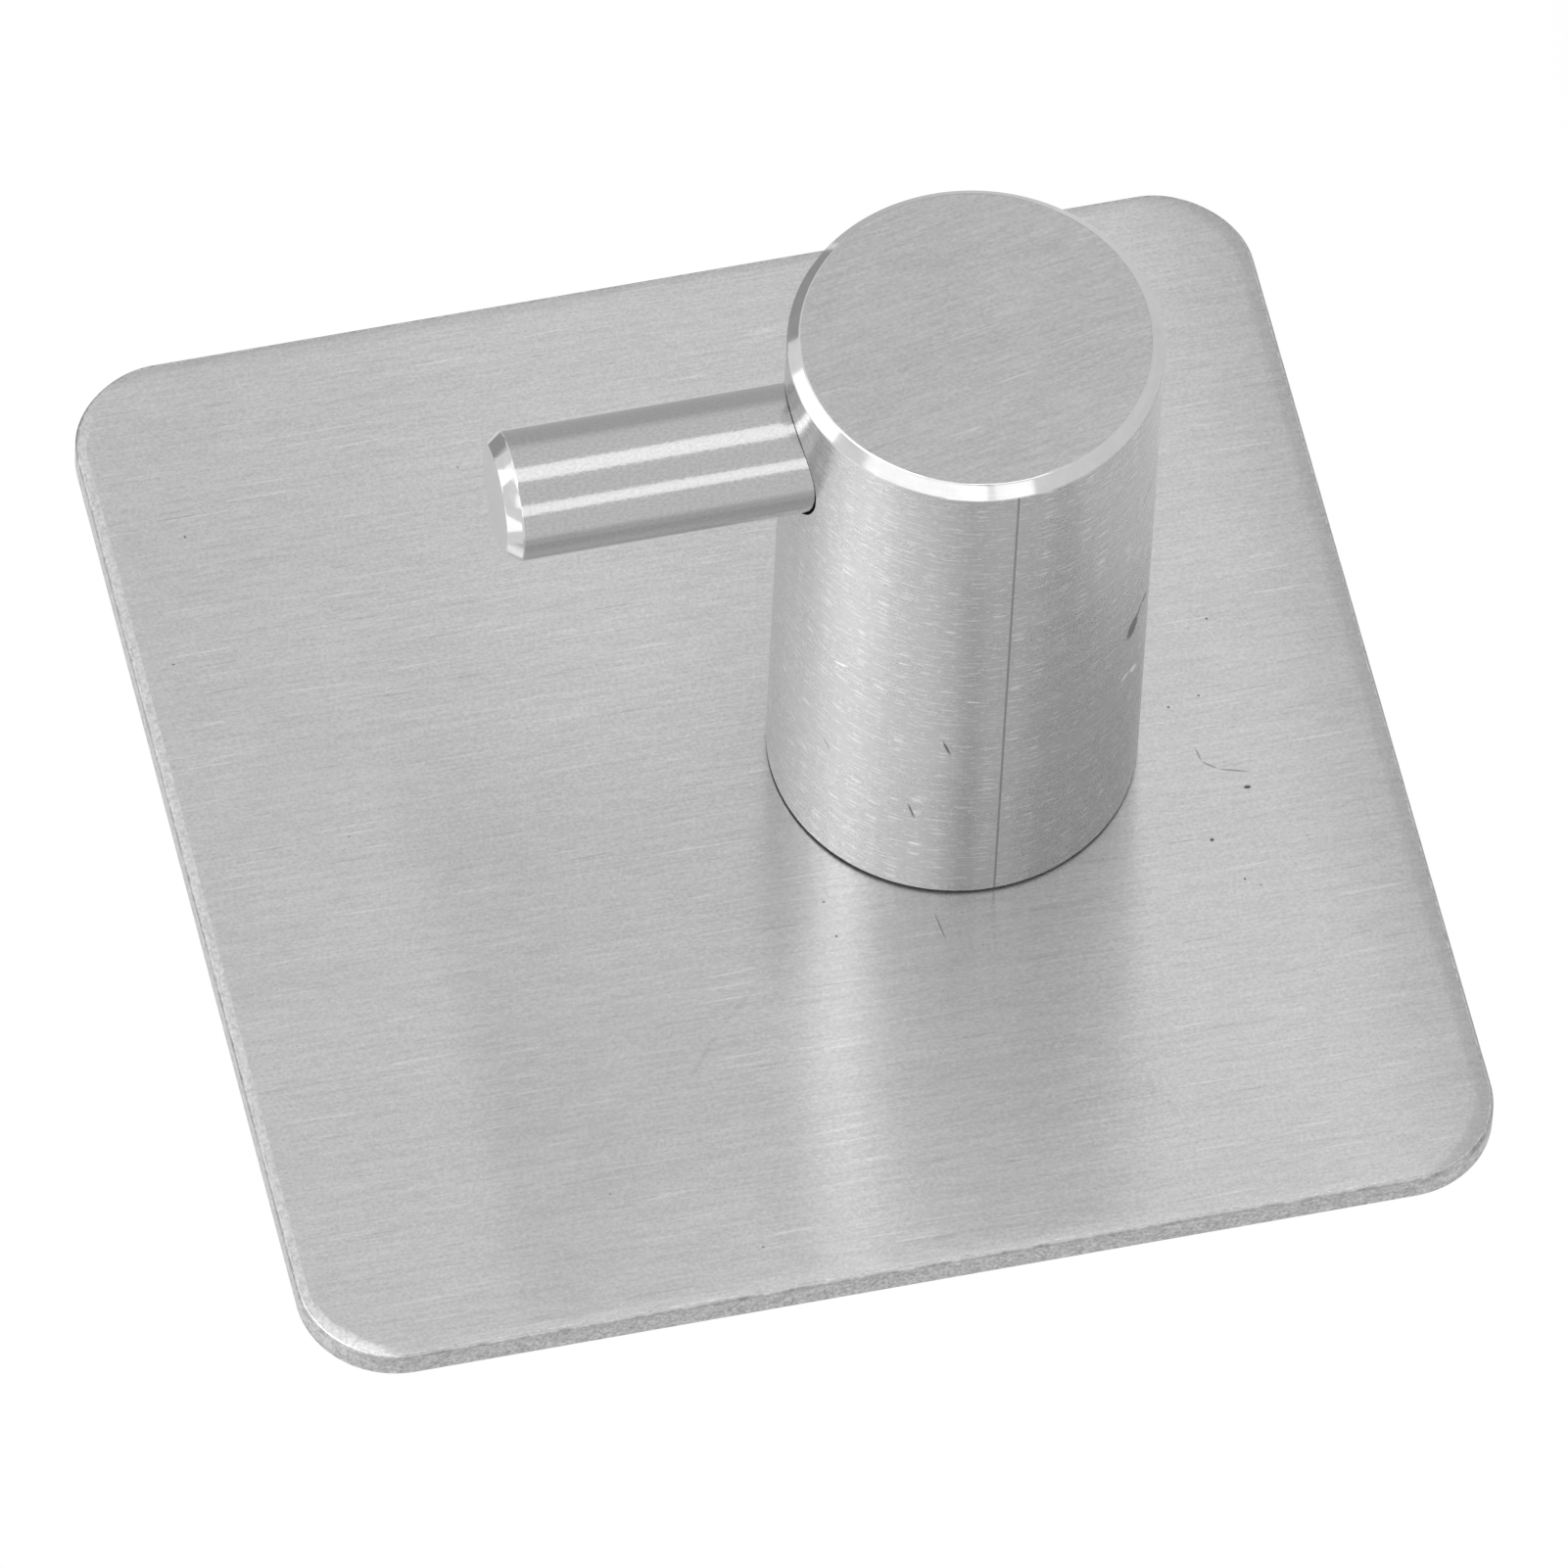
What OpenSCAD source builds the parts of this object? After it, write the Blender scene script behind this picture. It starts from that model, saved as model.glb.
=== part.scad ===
// Stick-on wall hook: a square stamped plate, a turned post that stands on it below its centre,
// and a thin peg that points up from the post's end so that a loop can't slide off.
// Millimetres. The wall is the plane Y = 0, the hook stands out towards -Y, and +Z is up.
// The origin is the middle of the tape's wall side.

/* [Plate] */
// Side of the square plate
plate_side = 45; // [36:1:80]
// Thickness of the sheet
plate_thickness = 1.2; // [0.9:0.1:2]
// Radius of the plate's corners, seen from the front
corner_radius = 3.65; // [2:0.05:8]
// Radius that the punch leaves along the front edge
edge_roll = 0.4; // [0.1:0.05:0.7]

/* [Post] */
// Diameter of the round bar
post_diameter = 13.8; // [12:0.1:18]
// Length of the post, from the plate's face to its end
post_length = 26; // [25:0.5:40]
// How far the post's axis lies below the plate's centre
post_drop = 6.5; // [0:0.5:8]
// Width of the bevel round the post's end
post_bevel = 0.45; // [0.2:0.05:1]
// Width of the edge break round the post's foot
foot_break = 0.15; // [0.05:0.05:0.5]

/* [Peg] */
// Diameter of the peg
peg_diameter = 4.85; // [3:0.05:5.5]
// Distance of the peg's axis from the plate's face
peg_stand = 21; // [14:0.5:21]
// Distance from the post's axis to the peg's tip
peg_reach = 17.85; // [14:0.05:25]
// Width of the bevel round the peg's tip
peg_bevel = 0.5; // [0.2:0.1:1]
// Hairline gap round the peg where it enters the post
peg_gap = 0.1; // [0.05:0.05:0.3]

/* [Screw] */
// Thread diameter of the screw that holds the post
screw_diameter = 4; // [3:1:4]
// Length of the screw under its head
screw_length = 8; // [6:1:8]
// Diameter of the thin head
head_diameter = 8; // [6:0.5:8.5]
// Thickness of the thin head
head_thickness = 0.8; // [0.5:0.1:0.9]

/* [Tape] */
// How far the tape lies inside the plate's edge
tape_inset = 2; // [1:0.5:4]
// Thickness of the foam tape
tape_thickness = 1.1; // [1:0.1:2]
// Corner radius of the tape
tape_corner_radius = 2; // [1:0.5:4]
// Diameter of the window that leaves room for the screw head
window_diameter = 10; // [9:0.5:10]

/* [Hidden] */
$fn = 96;

// Heights above the wall
plate_back = tape_thickness;
plate_face = plate_back + plate_thickness;

post_radius = post_diameter / 2;
peg_radius = peg_diameter / 2;
screw_radius = screw_diameter / 2;

// The peg is pressed in past the post's axis, and its seat is a hair wider at the mouth
peg_grip = 2;
peg_lead = 0.4;
seat_land = 0.15;
seat_radius = peg_radius + peg_gap;
seat_floor = sqrt(pow(post_radius, 2) - pow(seat_radius, 2)) - seat_land;

// The thread is drawn as a plain shank with running room, and the tapped hole ends in a drill point
thread_room = 0.02;
tap_depth = 9;
drill_point = screw_radius / tan(59);
screw_hole_room = 0.15;
screw_lead = 0.4;
head_rim = 0.25;

// Cross recess of the screw: two tapered wings
recess_radius = 2.1;
recess_point_radius = 0.6;
recess_depth = 1.7;
recess_wing = 0.9;

// Room by which a cutting tool passes the face it cuts
overcut = 1;

// Stands a part that was drawn lying on its back up against the wall
module on_wall() {
    rotate([90, 0, 0])
        children();
}

// Puts a part that was drawn on the plate's centre line on the post's axis
module on_post_axis() {
    translate([0, -post_drop, 0])
        children();
}

// Square with rounded corners, centred
module rounded_square(side, radius) {
    flat = side - 2 * radius;
    square([side, flat], center = true);
    square([flat, side], center = true);
    for (x = [-1, 1], y = [-1, 1])
        translate([x * flat / 2, y * flat / 2])
            circle(r = radius);
}

// Section through the sheet, from a corner's centre out to the edge, with the front edge rolled over
module sheet_edge_section() {
    square([corner_radius - edge_roll, plate_thickness]);
    square([corner_radius, plate_thickness - edge_roll]);
    translate([corner_radius - edge_roll, plate_thickness - edge_roll])
        circle(r = edge_roll);
}

// Flat middle of the sheet, then one rolled edge and one rolled corner on each side
module stamped_sheet() {
    flat = plate_side - 2 * corner_radius;
    translate([-flat / 2, -flat / 2, 0])
        cube([flat, flat, plate_thickness]);
    for (turn = [0 : 90 : 270])
        rotate(turn)
            translate([flat / 2, flat / 2, 0]) {
                rotate([90, 0, 0])
                    linear_extrude(flat)
                        sheet_edge_section();
                rotate_extrude(angle = 90)
                    sheet_edge_section();
            }
}

// Solid turned bar that stands on Z = 0, with a bevel at each end
module turned_bar(radius, length, low_bevel, high_bevel) {
    rotate_extrude()
        polygon([
            [0, 0],
            [radius - low_bevel, 0],
            [radius, low_bevel],
            [radius, length - high_bevel],
            [radius - high_bevel, length],
            [0, length]
        ]);
}

module back_plate() {
    color("silver")
        on_wall()
            difference() {
                translate([0, 0, plate_back])
                    stamped_sheet();
                on_post_axis()
                    translate([0, 0, plate_back - overcut])
                        cylinder(r = screw_radius + screw_hole_room, h = plate_thickness + 2 * overcut);
            }
}

// Blind tapped hole in the post's foot, with its drill point
module tapped_hole() {
    hole_radius = screw_radius + thread_room;
    translate([0, 0, -overcut])
        cylinder(r = hole_radius, h = tap_depth + overcut);
    translate([0, 0, tap_depth])
        cylinder(r1 = hole_radius, r2 = 0, h = drill_point);
}

// Blind bore across the post for the peg, with the wider seat at its mouth
module peg_bore() {
    translate([0, -peg_grip, peg_stand])
        rotate([-90, 0, 0])
            cylinder(r = peg_radius, h = peg_grip + post_radius + overcut);
    translate([0, seat_floor, peg_stand])
        rotate([-90, 0, 0])
            cylinder(r = seat_radius, h = post_radius + overcut);
}

module post() {
    color("gainsboro")
        on_wall()
            on_post_axis()
                translate([0, 0, plate_face])
                    difference() {
                        turned_bar(post_radius, post_length, foot_break, post_bevel);
                        tapped_hole();
                        peg_bore();
                    }
}

module peg() {
    color("whitesmoke")
        on_wall()
            on_post_axis()
                translate([0, -peg_grip, plate_face + peg_stand])
                    rotate([-90, 0, 0])
                        turned_bar(peg_radius, peg_grip + peg_reach, peg_lead, peg_bevel);
}

// Two crossed wings that taper to the bottom of the recess
module cross_recess() {
    intersection() {
        translate([0, 0, -overcut])
            cylinder(r = recess_radius, h = recess_depth + overcut);
        union() {
            cylinder(r1 = recess_radius, r2 = recess_point_radius, h = recess_depth);
            translate([0, 0, -overcut])
                cylinder(r = recess_radius, h = overcut);
        }
        for (turn = [0, 90])
            rotate(turn)
                cube([4 * recess_radius, recess_wing, 2 * recess_depth + overcut], center = true);
    }
}

module post_screw() {
    color("lightsteelblue")
        on_wall()
            on_post_axis()
                translate([0, 0, plate_back - head_thickness])
                    difference() {
                        rotate_extrude()
                            polygon([
                                [0, 0],
                                [head_diameter / 2 - head_rim, 0],
                                [head_diameter / 2, head_rim],
                                [head_diameter / 2, head_thickness],
                                [screw_radius, head_thickness],
                                [screw_radius, head_thickness + screw_length - screw_lead],
                                [screw_radius - screw_lead, head_thickness + screw_length],
                                [0, head_thickness + screw_length]
                            ]);
                        cross_recess();
                    }
}

module adhesive_pad() {
    color("dimgray")
        on_wall()
            linear_extrude(tape_thickness)
                difference() {
                    rounded_square(plate_side - 2 * tape_inset, tape_corner_radius);
                    on_post_axis()
                        circle(d = window_diameter);
                }
}

back_plate();
post();
peg();
post_screw();
adhesive_pad();
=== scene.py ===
# %% [markdown]
# A stick-on wall hook of brushed stainless steel.
# A square plate sticks to the wall with foam tape. A thick round post stands out from the plate,
# and a thin peg points up near the post's end so that a loop can't slide off.
# The solids were drawn in CAD first. They are loaded here as a fixed frame, in metres, and every
# piece below is made in that frame: the wall is the plane Y = 0, the hook stands out towards -Y,
# and Z is up.

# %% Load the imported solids
import bpy
import bmesh
from math import atan2, cos, pi, radians, sin
from mathutils import Matrix, Vector


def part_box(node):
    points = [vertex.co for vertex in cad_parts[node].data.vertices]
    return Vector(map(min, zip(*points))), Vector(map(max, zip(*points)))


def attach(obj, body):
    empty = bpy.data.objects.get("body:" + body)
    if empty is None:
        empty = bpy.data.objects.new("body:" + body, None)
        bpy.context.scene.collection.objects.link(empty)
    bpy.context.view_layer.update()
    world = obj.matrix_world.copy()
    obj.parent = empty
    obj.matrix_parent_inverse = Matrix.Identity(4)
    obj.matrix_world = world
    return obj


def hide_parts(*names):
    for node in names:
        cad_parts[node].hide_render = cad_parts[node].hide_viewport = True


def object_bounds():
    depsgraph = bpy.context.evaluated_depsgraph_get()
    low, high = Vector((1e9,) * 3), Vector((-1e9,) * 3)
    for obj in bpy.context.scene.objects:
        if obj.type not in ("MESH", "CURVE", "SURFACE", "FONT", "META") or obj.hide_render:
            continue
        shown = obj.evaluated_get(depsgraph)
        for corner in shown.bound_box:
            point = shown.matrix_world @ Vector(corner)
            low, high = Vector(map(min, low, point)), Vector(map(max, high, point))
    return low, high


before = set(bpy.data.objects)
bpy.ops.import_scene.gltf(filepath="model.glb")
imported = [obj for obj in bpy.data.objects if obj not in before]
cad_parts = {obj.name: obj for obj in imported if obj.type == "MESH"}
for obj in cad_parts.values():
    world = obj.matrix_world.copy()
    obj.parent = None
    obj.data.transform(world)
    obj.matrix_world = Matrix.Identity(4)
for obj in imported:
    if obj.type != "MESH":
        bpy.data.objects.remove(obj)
cad_low, cad_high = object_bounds()
scene = bpy.context.scene
scene.view_settings.view_transform = "Standard"
MM = 0.001
print("solids:", sorted(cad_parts))

# %% [markdown]
# The camera comes first, because everything is judged through it.
# The photo shows the hook lying on its back, seen from far away through a long lens. In the frame
# of the wall that is a camera in front of the plate and to its left, rolled by about 100 degrees.
# The roll could be avoided by turning the whole object, but then the pieces would leave the frame.

# %% Camera
PHOTO_AZIMUTH, PHOTO_ELEVATION, PHOTO_ROLL = radians(-33.032), radians(8.644), radians(-99.858)
PHOTO_DISTANCE = 1.28816
LENS_MM, SENSOR_MM = 799.574, 36
AIM_RIGHT, AIM_UP = 0.126 * MM, -0.590 * MM
plate_low, plate_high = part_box("back_plate")

back = Vector((sin(PHOTO_AZIMUTH) * cos(PHOTO_ELEVATION),
               -cos(PHOTO_AZIMUTH) * cos(PHOTO_ELEVATION),
               sin(PHOTO_ELEVATION)))
level_right = Vector((0, 0, 1)).cross(back).normalized()
level_up = back.cross(level_right)
right = cos(PHOTO_ROLL) * level_right + sin(PHOTO_ROLL) * level_up
up = back.cross(right)

lens = bpy.data.cameras.new("photo_camera")
lens.lens, lens.sensor_width = LENS_MM, SENSOR_MM
camera = bpy.data.objects.new("photo_camera", lens)
scene.collection.objects.link(camera)
aim = Vector((0, plate_low.y, 0)) + AIM_RIGHT * right + AIM_UP * up
camera_turn = Matrix((right, up, back)).transposed().to_4x4()
camera.matrix_world = Matrix.Translation(aim + PHOTO_DISTANCE * back) @ camera_turn
scene.camera = camera
print("camera at", [round(c, 3) for c in camera.matrix_world.translation])

# %% [markdown]
# Every piece takes the same last steps: its mesh goes into an object at the origin, it rides on
# the CAD body, it takes the place of a CAD node, which is hidden, and it gets its finishes.
# Cutting could be done by hand-made faces round each hole. A Boolean that is applied at once gives
# the same clean edge, and leaves no live modifier behind.

# %% Helpers that every piece uses
SAME_PLACE = 0.0001 * MM


def place_piece(name, bm, node=None, finishes=()):
    """Without a node the piece is a cutter, or stands on the stage."""
    mesh = bpy.data.meshes.new(name)
    bm.to_mesh(mesh)
    bm.free()
    piece = bpy.data.objects.new(name, mesh)
    scene.collection.objects.link(piece)
    for finish in finishes:
        mesh.materials.append(finish)
    if node:
        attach(piece, "root")
        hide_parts(node)
    return piece


def apply_modifiers(piece):
    bpy.context.view_layer.update()
    shaped = piece.evaluated_get(bpy.context.evaluated_depsgraph_get())
    mesh = bpy.data.meshes.new_from_object(shaped)
    old = piece.data
    piece.modifiers.clear()
    piece.data = mesh
    bpy.data.meshes.remove(old)
    mesh.name = piece.name


def carve(piece, cutter):
    cut = piece.modifiers.new("carve", "BOOLEAN")
    cut.operation, cut.solver, cut.object = "DIFFERENCE", "EXACT", cutter
    apply_modifiers(piece)
    spent = cutter.data
    bpy.data.objects.remove(cutter)
    bpy.data.meshes.remove(spent)


def smooth_piece(piece, crease=35):
    piece.data.shade_smooth()
    piece.data.set_sharp_from_angle(angle=radians(crease))
    even = piece.modifiers.new("even", "WEIGHTED_NORMAL")
    even.keep_sharp, even.weight = True, 100
    apply_modifiers(piece)
    print(piece.name, "has", len(piece.data.polygons), "faces")


print("helpers for pieces are ready")

# %% [markdown]
# Round parts are turned on a lathe, and they are made the same way here: half a profile is drawn
# as a line, its corners are rounded a little, and the line is spun about the axis.
# A cylinder primitive would have knife edges, and no real edge is that sharp: the small rounding
# is what catches the light along every rim.

# %% Helper for turned parts
TURN_STEPS = 256
ALONG_POST = Matrix.Rotation(pi / 2, 4, "X")


def turned_mesh(profile, place, rounding, round_segments=3):
    """profile: (radius, height, 1 if this corner is rounded); heights run along local +Z."""
    bm = bmesh.new()
    verts = [bm.verts.new((radius, 0, height)) for radius, height, _ in profile]
    for first, second in zip(verts, verts[1:]):
        bm.edges.new((first, second))
    corners = [v for v, (_, _, soft) in zip(verts, profile) if soft]
    if corners:
        bmesh.ops.bevel(bm, geom=corners, offset=rounding, offset_type="OFFSET",
                        segments=round_segments, profile=0.5, affect="VERTICES", material=-1)
    bmesh.ops.spin(bm, geom=bm.verts[:] + bm.edges[:], cent=(0, 0, 0), axis=(0, 0, 1),
                   angle=2 * pi, steps=TURN_STEPS, use_merge=True)
    bmesh.ops.remove_doubles(bm, verts=bm.verts, dist=SAME_PLACE)
    bmesh.ops.recalc_face_normals(bm, faces=bm.faces)
    bmesh.ops.transform(bm, matrix=place, verts=bm.verts)
    return bm


print("turned parts have", TURN_STEPS, "steps")

# %% [markdown]
# Brushed and turned steel stretches every reflection across its fine grooves. The shader does
# this with anisotropy, and it needs to know on each face which way lies across the grooves.
# A UV map says so here: its U runs across the grain. No picture is laid on it.

# %% Helper for the direction across the grain
ACROSS = "across_grain"


def mark_across(piece, across):
    """across(point, face centre, face normal) gives the U and V of one face corner."""
    mesh = piece.data
    layer = mesh.uv_layers.get(ACROSS) or mesh.uv_layers.new(name=ACROSS)
    for face in mesh.polygons:
        for loop in face.loop_indices:
            point = mesh.vertices[mesh.loops[loop].vertex_index].co
            layer.data[loop].uv = across(point, face.center, face.normal)


def turned_across(axis_point, axis, radius):
    """For a turned surface: U runs along the profile, V round it, both in metres."""
    first = axis.orthogonal().normalized()
    second = axis.cross(first)

    def across(point, centre, normal):
        def angle(p):
            return atan2((p - axis_point).dot(second), (p - axis_point).dot(first))
        turn = angle(point) - angle(centre)
        turn = (turn + pi) % (2 * pi) - pi
        along = (point - axis_point).dot(axis)
        out = ((point - axis_point) - along * axis).length
        return along - out, (angle(centre) + turn) * radius
    return across


print("the grain's direction is kept in the UV map", ACROSS)

# %% [markdown]
# A finish is a material: one Principled shader, with nodes in front of it that vary its colour,
# roughness and relief. Nodes can be placed by hand in the editor. In a script a few short calls do
# the same, so this cell wraps one material in a small class.

# %% Helpers that add shader nodes
class NodeSheet:
    """One material, with short calls that add nodes to it."""

    def __init__(self, name):
        self.material = bpy.data.materials.new(name)
        self.material.use_nodes = True
        self.tree = self.material.node_tree
        self.shader = self.tree.nodes["Principled BSDF"]
        self.coords = self.tree.nodes.new("ShaderNodeTexCoord").outputs["Object"]

    def feed(self, socket, value):
        if isinstance(value, bpy.types.NodeSocket):
            self.tree.links.new(value, socket)
        else:
            socket.default_value = value

    def node(self, kind, settings=(), **inputs):
        made = self.tree.nodes.new(kind)
        for key, value in dict(settings).items():
            setattr(made, key, value)
        for key, value in inputs.items():
            self.feed(made.inputs[key.replace("_", " ")], value)
        return made

    def math(self, operation, *values):
        made = self.node("ShaderNodeMath", {"operation": operation})
        for socket, value in zip(made.inputs, values):
            self.feed(socket, value)
        return made.outputs[0]

    def range(self, value, low, high):
        return self.node("ShaderNodeMapRange", Value=value, To_Min=low, To_Max=high).outputs[0]

    def above(self, value, level, soft=0.04):
        """1 where value tops level, else 0, with a short slope between."""
        return self.node("ShaderNodeMapRange", {"interpolation_type": "SMOOTHSTEP"}, Value=value,
                         From_Min=level, From_Max=level + soft).outputs[0]


print("helpers for nodes are ready")

# %% [markdown]
# Brushing leaves thousands of fine scratches. Noise that is squeezed across the grain and stretched
# along it looks the same, and because it is read from Object coordinates it runs on over edges
# without a seam. On a round bar the grain has to bend with the surface, so there the noise is read
# from the UV map: its U runs along the bar and its V round it.
# A single nick or scratch is drawn as a thin spindle between two points: the Mapping node turns and
# shrinks space until the spindle is a ball of radius 1.

# %% Helpers for grain, spots and scratches
class GrainSheet(NodeSheet):
    """A sheet with noise, and with marks at given places."""

    def stretched(self, size, turn=(0, 0, 0), middle=(0, 0, 0)):
        """Object coordinates measured in grains: size is one grain's extent in metres."""
        return self.node("ShaderNodeMapping", {"vector_type": "TEXTURE"}, Vector=self.coords,
                         Scale=size, Rotation=turn, Location=middle).outputs[0]

    def noise(self, *size_mm, turn=(0, 0, 0), detail=0.0, apart=0.0):
        """apart moves a second layer of the same grain away from the first, in millimetres."""
        size = [MM * s for s in (size_mm if len(size_mm) == 3 else size_mm * 3)]
        place = self.stretched(size, turn, (MM * apart,) * 3)
        return self.node("ShaderNodeTexNoise", Vector=place, Scale=1.0,
                         Detail=detail, Roughness=0.6).outputs[0]

    def skin_noise(self, along_mm, round_mm, detail=0.0, apart=0.0):
        """Noise that lies on a turned surface: its extents along the axis and round it."""
        skin = self.node("ShaderNodeUVMap", {"uv_map": ACROSS}).outputs[0]
        place = self.node("ShaderNodeMapping", {"vector_type": "TEXTURE"}, Vector=skin,
                          Scale=(MM * along_mm, MM * round_mm, 1), Location=(MM * apart,) * 3)
        return self.node("ShaderNodeTexNoise", {"noise_dimensions": "2D"}, Vector=place.outputs[0],
                         Scale=1.0, Detail=detail, Roughness=0.6).outputs[0]

    def blend(self, parts, middle=0.5):
        """middle plus each (share, noise) of parts, where a noise swings about a half."""
        total = middle
        for share, noise in parts:
            swing = self.math("SUBTRACT", noise, 0.5)
            total = self.math("MULTIPLY_ADD", swing, share, total)
        return total

    def scratch(self, start, end, width):
        """Points and width in millimetres."""
        start, end = MM * Vector(start), MM * Vector(end)
        along = end - start
        size = (along.length / 2, MM * width / 2, MM * width / 2)
        spindle = self.stretched(size, along.to_track_quat("X", "Z").to_euler(), (start + end) / 2)
        reach = self.node("ShaderNodeVectorMath", {"operation": "LENGTH"}, Vector=spindle)
        return self.math("SUBTRACT", 1.0, self.above(reach.outputs["Value"], 0.5, 0.5))

    def scratches(self, lines):
        marks = [self.scratch(*line) for line in lines]
        total = marks[0]
        for mark in marks[1:]:
            total = self.math("MAXIMUM", total, mark)
        return total


print("helpers for grain are ready")

# %% [markdown]
# All steel here shares one last step. The noise sets how light the steel is, the shader is fully
# metallic, and where the piece has a grain the shader's anisotropy follows the UV map from above.

# %% Helper for steel
class Finish(GrainSheet):
    """A sheet with the last steps of a finish: its colours and its metal."""

    def tone(self, value, dark, light):
        mix = self.node("ShaderNodeMix", {"data_type": "RGBA"})
        self.feed(mix.inputs[0], value)
        mix.inputs[6].default_value = (*dark, 1)
        mix.inputs[7].default_value = (*light, 1)
        return mix.outputs[2]

    def stain(self, colour, mask, level):
        """Lays a grey of the given level over a colour, where mask is 1."""
        mix = self.node("ShaderNodeMix", {"data_type": "RGBA"})
        self.feed(mix.inputs[0], mask)
        self.feed(mix.inputs[6], colour)
        mix.inputs[7].default_value = (*grey(level), 1)
        return mix.outputs[2]

    def metal(self, colour, roughness, relief, depth_mm, anisotropy=0.0):
        self.shader.inputs["Metallic"].default_value = 1.0
        self.feed(self.shader.inputs["Base Color"], colour)
        self.feed(self.shader.inputs["Roughness"], roughness)
        tilt = self.node("ShaderNodeBump", Height=relief, Distance=MM * depth_mm, Strength=1.0)
        self.feed(self.shader.inputs["Normal"], tilt.outputs[0])
        if anisotropy:
            self.shader.inputs["Anisotropic"].default_value = anisotropy
            tangent = self.node("ShaderNodeTangent", {"direction_type": "UV_MAP", "uv_map": ACROSS})
            self.feed(self.shader.inputs["Tangent"], tangent.outputs[0])
        print("finish:", self.material.name)
        return self.material


def grey(level):
    return (level, level, level)


print("helper for steel is ready")

# %% [markdown]
# The plate's face is brushed along Z. Up close it has long and short hairlines with fine grain
# between, a few hairs that stand out brighter or darker, soft cloudy patches from handling, and here
# and there a tiny dark pit.
# One noise with many octaves would look like cloth. Separate layers keep each length of hairline.
# The roughness is high across the grain and low along it, so that the post's image in the plate
# keeps its two sides and is smeared lengthwise.

# %% Grain of the plate's face
plate_finish = Finish("plate_brushed")
long_hairs = plate_finish.noise(0.12, 1, 6)
short_hairs = plate_finish.noise(0.10, 1, 1.5)
grains = plate_finish.noise(0.09, 1, 0.12, detail=1)
streaks = plate_finish.noise(0.45, 2, 14, detail=1)
clouds = plate_finish.noise(5, 5, 9, detail=3)
shade = plate_finish.blend([(0.14, long_hairs), (0.26, short_hairs), (0.70, grains),
                            (0.05, streaks), (0.20, clouds)])
bright_hairs = plate_finish.above(plate_finish.noise(0.11, 1, 4, apart=30), 0.76)
dark_hairs = plate_finish.above(plate_finish.noise(0.10, 1, 3, apart=60), 0.78)
pits = plate_finish.above(plate_finish.noise(0.20, 1, 0.26, apart=90), 0.88)
shade = plate_finish.math("MULTIPLY_ADD", bright_hairs, 0.20, shade)
shade = plate_finish.math("MULTIPLY_ADD", dark_hairs, -0.20, shade)
print("plate: hairlines of 6 and 1.5 mm, and fine grain between")

# %% [markdown]
# Handling left a few marks across the grain: a fine dark hair, a faint curved rub and small pits.
# They could be painted on a texture, but two end points and a width say all there is to them.

# %% Marks on the plate
def on_face(x, z):
    """A point of the plate's face, in millimetres from the plate's middle."""
    return (x, plate_low.y / MM, z)


plate_dark = plate_finish.scratches([
    (on_face(-4.34, -16.55), on_face(-4.36, -16.90), 0.20),
    (on_face(-6.36, -14.80), on_face(-6.39, -15.00), 0.18),
    (on_face(0.00, -15.85), on_face(0.00, -15.95), 0.12),
    (on_face(-0.28, -14.62), on_face(-0.28, -14.74), 0.12),
    (on_face(-6.13, -0.17), on_face(-6.13, -0.27), 0.12),
    (on_face(-7.71, -0.28), on_face(-7.71, -0.40), 0.12),
    (on_face(14.60, 19.30), on_face(14.60, 19.40), 0.14),
])
plate_hair = plate_finish.scratches([
    (on_face(-7.34, -4.10), on_face(-8.80, -4.28), 0.09),
    (on_face(-2.20, -15.23), on_face(-2.90, -15.32), 0.09),
    (on_face(-2.85, -15.25), on_face(-3.38, -15.90), 0.10),
    (on_face(-3.30, -15.70), on_face(-3.74, -17.10), 0.10),
])
plate_rubs = plate_finish.scratches([
    (on_face(-9.4, 3.2), on_face(-10.8, 4.8), 0.25),
    (on_face(-10.6, 4.6), on_face(-13.1, 6.6), 0.25),
    (on_face(-15.9, -10.1), on_face(-17.5, -10.3), 0.30),
    (on_face(-17.1, -10.6), on_face(-18.1, -10.9), 0.30),
])
print("plate: dark marks, hairs and rubs are placed")

# %% [markdown]
# Painted shade makes the face a little darker in its top half, towards its bottom end and along its
# right side. Then the layers come together: first the tone, then the dark marks on top of it, so that
# no bright hair shines through a pit.

# %% Finish of the plate's face
SHADE_FROM, SHADE_OVER = 4 * MM, 16 * MM
SHADE_END, SHADE_SIDE = 5 * MM, 0.8 * MM

face_x, _, face_z = plate_finish.node("ShaderNodeSeparateXYZ", Vector=plate_finish.coords).outputs
face_down = plate_finish.math("MULTIPLY", face_z, -1.0)
painted_shade_top = plate_finish.above(face_z, SHADE_FROM, SHADE_OVER)
painted_shade_end = plate_finish.above(face_down, plate_high.z - SHADE_END, SHADE_END)
painted_shade_side = plate_finish.above(face_x, plate_high.x - SHADE_SIDE, SHADE_SIDE)
# plate_rubs are handling marks; the other three masks are painted shade.
for mask, loss in ((plate_rubs, 0.12), (painted_shade_top, 0.17), (painted_shade_end, 0.30), (painted_shade_side, 0.20)):
    shade = plate_finish.math("MULTIPLY_ADD", mask, -loss, shade)
plate_colour = plate_finish.tone(shade, grey(0.385), grey(0.68))
plate_colour = plate_finish.stain(plate_colour, plate_finish.math("MULTIPLY", plate_hair, 0.8), 0.25)
plate_colour = plate_finish.stain(plate_colour, plate_finish.math("MAXIMUM", plate_dark, pits), 0.10)
plate_face_steel = plate_finish.metal(
    plate_colour, plate_finish.blend([(0.05, streaks), (0.06, clouds)], middle=0.25),
    relief=plate_finish.blend([(1.0, long_hairs), (1.0, short_hairs)]), depth_mm=0.0010,
    anisotropy=1.0)

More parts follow.
